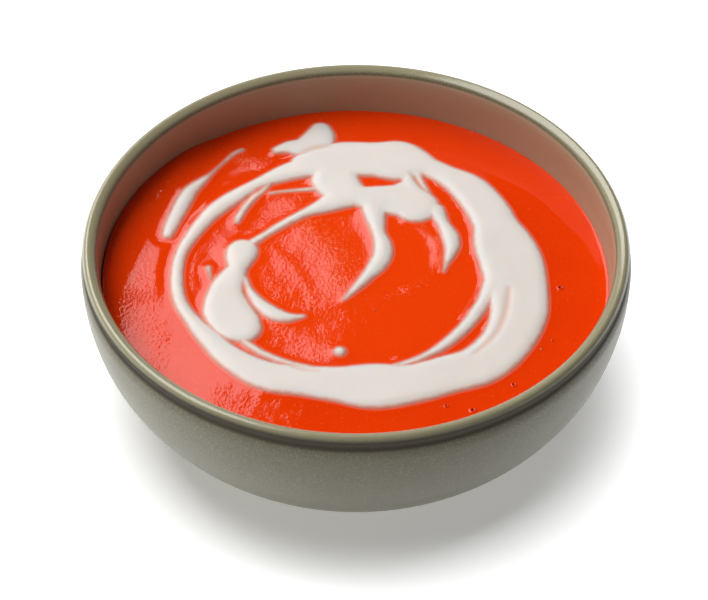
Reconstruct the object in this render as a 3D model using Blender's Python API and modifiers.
"""Tomato soup in a hand-thrown stoneware bowl, with cream swirled over it.

Metres, +Z up. The origin is the centre of the foot's underside, so the bowl stands on z = 0.
Each piece is one closed body: the bowl, the soup inside it, the cream swirl that lies on the
soup, and a lone streak of cream beside the swirl.
"""
import math

import bmesh
import bpy
import numpy as np
from mathutils import Vector

MM = 0.001
CLEARANCE = 0.3 * MM           # gap kept between two pieces that touch on the real dish

# Bowl. Levels are heights above the table.
RIM_HEIGHT = 62.0 * MM
LIP_RADIUS = 75.0 * MM         # outer edge of the rounded lip
LIP_WIDTH = 4.4 * MM           # thickness of the lip, outside to inside
LIP_HEIGHT = 1.9 * MM          # how far the rounded lip stands above its crease
CREASE_DEPTH = 0.5 * MM        # the groove under the lip, outside
BELLY_RADIUS = 75.8 * MM       # widest radius of the body
BELLY_LEVEL = 56.4 * MM
BODY_DEPTH = 59.3 * MM         # half height of the superellipse that the outer wall follows
BODY_POWER = 2.2               # 2 would be an ellipse, more is squarer
INNER_RADIUS = 71.0 * MM
INNER_DEPTH = 49.4 * MM
FOOT_HEIGHT = 3.0 * MM
FOOT_INSET = 0.8 * MM          # the foot ring steps in from the wall above it
FOOT_WIDTH = 4.6 * MM
FOOT_RECESS = 2.2 * MM         # hollow under the foot, inside its ring
FOOT_ROUNDING = 0.5 * MM

# Soup and cream.
SOUP_LEVEL = 47.3 * MM
CREAM_THICKNESS = 1.5 * MM     # of a broad ribbon
CREAM_EDGE = 0.5 * MM          # thickness where the rounding of a ribbon's edge starts
CREAM_ROUNDING = 1.9 * MM      # width of that rounding
MIN_STRAND = 0.8 * MM          # least half width of a strand in this model
CREAM_CELL = 0.8 * MM          # grid that the cream is cut from
STROKE_STEP = 0.6 * MM         # distance between samples along a stroke of cream
SWIRL_KEPT = 0.12              # share of the swirl's faces that the decimation keeps
STREAK_KEPT = 0.2

TURN_STEPS = 64
LIP_POINTS = 6
INNER_POINTS = 8
OUTER_POINTS = 9
SHARP_ANGLE = math.radians(40)

# Strokes of cream as poured, each a run of (x, y, half width) in millimetres.
SWIRL_STROKES = {
    "ring": [(-14, 45.5, 4.5), (-20.5, 42.8, 3.6), (-28.6, 37.8, 2.3), (-36.7, 30.4, 2.9),
             (-42.9, 22.5, 2.5), (-48.7, 10, 1.95), (-50, 0, 2), (-48.8, -10, 2.15),
             (-45.5, -16.7, 2.4), (-40.5, -23.8, 3.3), (-33.5, -32, 4.3), (-24, -38.2, 5.4),
             (-14, -40, 5.7), (-4, -41.3, 6.7), (5, -41.8, 8.4), (14.5, -41, 7.2),
             (24.5, -37.5, 7), (34, -33.4, 7.3), (41.2, -24.5, 7.4), (44.7, -14, 8.1),
             (44.4, -3, 8.9), (43.4, 6, 9.2), (41.5, 13.5, 8.7), (39.6, 20.8, 6.8),
             (37.3, 27.7, 6.5), (32.4, 36.4, 5.9), (25.6, 42.4, 4.2), (19.7, 46.4, 4.2)],
    "pool": [(-14, 46.5, 5.5), (-5, 48.7, 7.6), (5, 48.9, 7.5), (9.5, 48.6, 8.2),
             (12.5, 48.3, 8.4), (19, 47, 4.6)],
    "apron": [(-5.5, 44, 6.5), (-6, 39, 7), (0, 33.4, 4.6), (7, 31.9, 5.7), (14, 31.2, 7),
              (17, 29, 6.8)],
    "bridge": [(14.2, 48, 2.6), (13.8, 42, 1.8), (15, 37, 3)],
    "strip": [(17.2, 44, 1.6), (18.2, 41, 1.1), (19.3, 38, 0.9), (20.3, 35.5, 0.8),
              (21.4, 33.2, 0.8)],
    "lobe": [(-10.6, 61.6, 3.4), (-11.3, 57.5, 5), (-15, 54.2, 4.2), (-19.5, 54, 2.8),
             (-23.3, 52.7, 1.6)],
    "neck_arc": [(-3, 33.5, 5.4), (-9, 29.2, 3.2), (-14, 26.2, 1.9), (-18.5, 23, 1.6),
                 (-22.5, 19.8, 1.5), (-26, 16.6, 1.3), (-29, 13.6, 1.6)],
    "knob": [(-31.8, 10.3, 4.4), (-32.4, 8.4, 4.6), (-33.2, 3, 2.9)],
    "drop": [(-33.1, 3, 2.9), (-34.4, -0.5, 3.9), (-35.8, -4.5, 4.7), (-36.1, -9, 5.7),
             (-35.4, -14, 7), (-33.2, -18, 7), (-31.2, -20.4, 5.6)],
    "drop_tail": [(-30.5, -25.5, 1.3), (-26.5, -29, 1.3), (-22, -31.7, 1.2), (-17, -33.8, 1.1),
                  (-12, -35.3, 1)],
    "curl": [(-31.2, -1, 1.2), (-29.8, -5, 1.2), (-28.3, -8.3, 1.8), (-26.2, -11.4, 2.3),
             (-22.8, -14.6, 2.6), (-19.3, -16.1, 2.1), (-16.3, -15.9, 1.2), (-14.6, -15.5, 0.8)],
    "thread": [(-12, 36.2, 1), (-17, 35.6, 0.75), (-21.5, 34.8, 0.6), (-24.6, 34, 0.7)],
    "wisp": [(-24.8, 38.6, 1), (-27, 35, 0.9), (-29.5, 32, 1.2), (-31.5, 28.5, 1.2),
             (-33.2, 24.5, 1.2), (-34, 21.9, 1)],
    "centre_drip": [(5, 29, 4), (5.4, 23, 3), (6.2, 18, 2.3), (7.4, 13, 2.8), (7.3, 9, 3),
                    (5.9, 5, 2.8), (3.5, 1, 2.1), (1.3, -2.5, 1.7), (-0.7, -5.2, 1.3),
                    (-2.6, -7.8, 0.8)],
    "right_drip": [(22.5, 27.5, 2.8), (24.7, 21.5, 2.1), (26.3, 17, 2.7), (26.9, 13, 2.5),
                   (26.2, 9, 1.7), (25.2, 5.5, 0.9), (24.5, 3, 0.6)],
    "inner_strand": [(38, -2, 3), (35.2, -9.5, 2.2), (33, -14, 2.2), (30.2, -18.8, 2),
                     (27, -23, 1.9), (23.5, -26.8, 1.7), (19.5, -30, 1.3), (15, -32.7, 1.2),
                     (10, -34.6, 1)],
}
STREAK_STROKES = {
    "streak": [(-33.6, 52.3, 0.7), (-35.8, 50.6, 0.7), (-39.5, 45.5, 0.5), (-42.3, 41.3, 0.7),
               (-44.3, 38.5, 1.4), (-47.2, 34.5, 2.1), (-49.2, 30, 2.5), (-50.9, 25, 2.45),
               (-52.3, 20.5, 2.3), (-53.3, 16, 1.8)],
}


def clear_scene():
    for item in list(bpy.data.objects):
        bpy.data.objects.remove(item, do_unlink=True)


def new_collection(name):
    collection = bpy.data.collections.new(name)
    bpy.context.scene.collection.children.link(collection)
    return collection


def principled(name, colour, roughness):
    """Return a Principled material of a linear colour, dull or glossy by its roughness."""
    material = bpy.data.materials.new(name)
    material.use_nodes = True
    shader = material.node_tree.nodes["Principled BSDF"]
    shader.inputs["Base Color"].default_value = (*colour, 1.0)
    shader.inputs["Roughness"].default_value = roughness
    shader.inputs["Metallic"].default_value = 0.0
    return material


def superellipse(radius, depth, start, end, count):
    """Points (r, z) down a bowl wall, between two drops below its widest level."""
    first, last = (math.asin(min(1.0, drop / depth) ** (BODY_POWER / 2)) for drop in (start, end))
    points = []
    for i in range(count):
        angle = first + (last - first) * i / (count - 1)
        across = max(0.0, math.cos(angle)) ** (2 / BODY_POWER)
        down = math.sin(angle) ** (2 / BODY_POWER)
        points.append((radius * across, BELLY_LEVEL - depth * down))
    return points


def inner_wall(offset=0.0):
    """Points (r, z) down the inside of the bowl, from the soup's level to the axis."""
    points = superellipse(INNER_RADIUS - offset, INNER_DEPTH - offset, BELLY_LEVEL - SOUP_LEVEL,
                          INNER_DEPTH - offset, INNER_POINTS)
    return points[:-1] + [(0.0, BELLY_LEVEL - INNER_DEPTH + offset)]


def lip():
    """Points (r, z) over the rounded lip, from its inside to the crease under it, outside."""
    middle = LIP_RADIUS - LIP_WIDTH / 2
    points = []
    for i in range(LIP_POINTS + 1):
        angle = math.pi * (1 - i / LIP_POINTS)
        points.append((middle + LIP_WIDTH / 2 * math.cos(angle),
                       RIM_HEIGHT - LIP_HEIGHT + LIP_HEIGHT * math.sin(angle)))
    points.append((LIP_RADIUS - CREASE_DEPTH, RIM_HEIGHT - LIP_HEIGHT - CREASE_DEPTH))
    return points


def outer_wall():
    """Points (r, z) from under the crease, over the shoulder and down to the foot's top."""
    shoulder = [(LIP_RADIUS + 0.2 * MM, BELLY_LEVEL + 2.4 * MM),
                (BELLY_RADIUS - 0.15 * MM, BELLY_LEVEL + 1.2 * MM)]
    return shoulder + superellipse(BELLY_RADIUS, BODY_DEPTH, 0.0, BELLY_LEVEL - FOOT_HEIGHT,
                                   OUTER_POINTS)


def foot(wall_radius):
    """Points (r, z) down the outside of the foot ring, under it and into its recess."""
    outer = wall_radius - FOOT_INSET
    inner = outer - FOOT_WIDTH
    return [(outer, FOOT_HEIGHT - FOOT_ROUNDING), (outer, FOOT_ROUNDING),
            (outer - FOOT_ROUNDING, 0.0), (inner + FOOT_ROUNDING, 0.0),
            (inner, FOOT_ROUNDING), (inner - FOOT_ROUNDING, FOOT_RECESS), (0.0, FOOT_RECESS)]


def turned(name, profile, material, collection):
    """Return an object turned about Z from a profile of (r, z) points at +X."""
    mesh = bpy.data.meshes.new(name)
    edges = [(i, i + 1) for i in range(len(profile) - 1)]
    mesh.from_pydata([(r, 0.0, z) for r, z in profile], edges, [])
    item = bpy.data.objects.new(name, mesh)
    collection.objects.link(item)
    screw = item.modifiers.new("Turn", "SCREW")
    screw.axis = "Z"
    screw.angle = 2 * math.pi
    screw.steps = TURN_STEPS
    screw.render_steps = TURN_STEPS
    screw.use_merge_vertices = True
    screw.merge_threshold = 0.00001
    screw.use_smooth_shade = True
    mesh.materials.append(material)
    return item


def stroke_samples(points):
    """Discs (x, y, radius) in metres along a Catmull-Rom curve through a stroke's points."""
    knots = np.array(points) * MM
    knots = np.vstack([2 * knots[0] - knots[1], knots, 2 * knots[-1] - knots[-2]])
    discs = []
    for before, start, end, after in zip(knots, knots[1:], knots[2:], knots[3:]):
        count = max(2, int(np.hypot(*(end - start)[:2]) / STROKE_STEP))
        t = np.linspace(0, 1, count, endpoint=False)[:, None]
        discs.append(0.5 * (2 * start + (end - before) * t
                            + (2 * before - 5 * start + 4 * end - after) * t ** 2
                            + (3 * start - before - 3 * end + after) * t ** 3))
    discs.append(knots[-2:-1])
    return np.vstack(discs)


def nearest_edge(places, discs):
    """For each place (x, y): its distance outside the union of discs, and the nearest disc."""
    gaps = np.full(len(places), np.inf)
    nearest = np.zeros(len(places), dtype=int)
    for i, (x, y, radius) in enumerate(discs):
        gap = np.hypot(places[:, 0] - x, places[:, 1] - y) - radius
        closer = gap < gaps
        gaps[closer] = gap[closer]
        nearest[closer] = i
    return gaps, nearest


def drop_pinches(bm):
    """Delete a face at each vertex where two parts of the sheet meet only at that point."""
    while True:
        pinched = [v for v in bm.verts if sum(e.is_boundary for e in v.link_edges) > 2]
        if not pinched:
            return
        faces = {v.link_faces[0] for v in pinched}
        bmesh.ops.delete(bm, geom=list(faces), context="FACES")


def keep_largest(bm):
    """Delete every connected part of the sheet but the largest."""
    bm.faces.ensure_lookup_table()
    unseen = set(bm.faces)
    parts = []
    while unseen:
        part = set()
        queue = [unseen.pop()]
        while queue:
            face = queue.pop()
            part.add(face)
            near = {other for edge in face.edges for other in edge.link_faces} & unseen
            unseen -= near
            queue.extend(near)
        parts.append(part)
    parts.sort(key=len)
    spare = [face for part in parts[:-1] for face in part]
    bmesh.ops.delete(bm, geom=spare, context="FACES")


def cream(name, strokes, kept, material, collection):
    """Return a rounded sheet of cream, cut from a grid by the union of its strokes."""
    discs = np.vstack([stroke_samples(points) for points in strokes.values()])
    discs[:, 2] = np.maximum(discs[:, 2], MIN_STRAND)
    low = (discs[:, :2] - discs[:, 2:]).min(axis=0) - CREAM_CELL
    high = (discs[:, :2] + discs[:, 2:]).max(axis=0) + CREAM_CELL
    cells = np.ceil((high - low) / CREAM_CELL).astype(int)

    bm = bmesh.new()
    bmesh.ops.create_grid(bm, x_segments=int(cells[0]), y_segments=int(cells[1]), size=0.5)
    size = cells * CREAM_CELL
    bmesh.ops.scale(bm, vec=(size[0], size[1], 1.0), verts=bm.verts)
    middle = low + size / 2
    bmesh.ops.translate(bm, vec=(middle[0], middle[1], 0.0), verts=bm.verts)

    centres = np.array([face.calc_center_median()[:2] for face in bm.faces])
    gaps, _ = nearest_edge(centres, discs)
    outside = [face for face, gap in zip(bm.faces, gaps) if gap > 0]
    bmesh.ops.delete(bm, geom=outside, context="FACES")
    drop_pinches(bm)
    keep_largest(bm)

    places = np.array([vert.co[:2] for vert in bm.verts])
    gaps, nearest = nearest_edge(places, discs)
    underside = SOUP_LEVEL + CLEARANCE
    for vert, gap, disc in zip(bm.verts, gaps, discs[nearest]):
        if vert.is_boundary:
            away = vert.co.xy - Vector(disc[:2])
            vert.co.xy -= away.normalized() * gap
            gap = 0.0
        inward = min(1.0, max(0.0, -gap) / CREAM_ROUNDING)
        rise = math.sqrt(1 - (1 - inward) ** 2)
        vert.co.z = underside + CREAM_EDGE + (CREAM_THICKNESS - CREAM_EDGE) * rise

    top = list(bm.faces)
    bottom = bmesh.ops.extrude_face_region(bm, geom=top, use_keep_orig=True)
    for item in bottom["geom"]:
        if isinstance(item, bmesh.types.BMVert):
            item.co.z = underside
    bmesh.ops.recalc_face_normals(bm, faces=bm.faces)

    mesh = bpy.data.meshes.new(name)
    bm.to_mesh(mesh)
    bm.free()
    mesh.shade_smooth()
    mesh.set_sharp_from_angle(angle=SHARP_ANGLE)
    mesh.materials.append(material)
    item = bpy.data.objects.new(name, mesh)
    collection.objects.link(item)
    thin = item.modifiers.new("Fewer faces", "DECIMATE")
    thin.decimate_type = "COLLAPSE"
    thin.ratio = kept
    thin.use_collapse_triangulate = True
    return item


def main():
    clear_scene()
    dish = new_collection("tomato_soup")
    glaze = principled("olive_stoneware_glaze", (0.21, 0.21, 0.15), 0.4)
    tomato = principled("tomato_soup", (0.8, 0.06, 0.005), 0.3)
    dairy = principled("poured_cream", (0.82, 0.75, 0.69), 0.4)

    inside = inner_wall()[::-1] + [(INNER_RADIUS, BELLY_LEVEL)]
    outside = outer_wall()
    turned("bowl", inside + lip() + outside + foot(outside[-1][0]), glaze, dish)
    turned("soup", [(0.0, SOUP_LEVEL)] + inner_wall(CLEARANCE), tomato, dish)

    cream("cream_swirl", SWIRL_STROKES, SWIRL_KEPT, dairy, dish)
    cream("cream_streak", STREAK_STROKES, STREAK_KEPT, dairy, dish)


main()
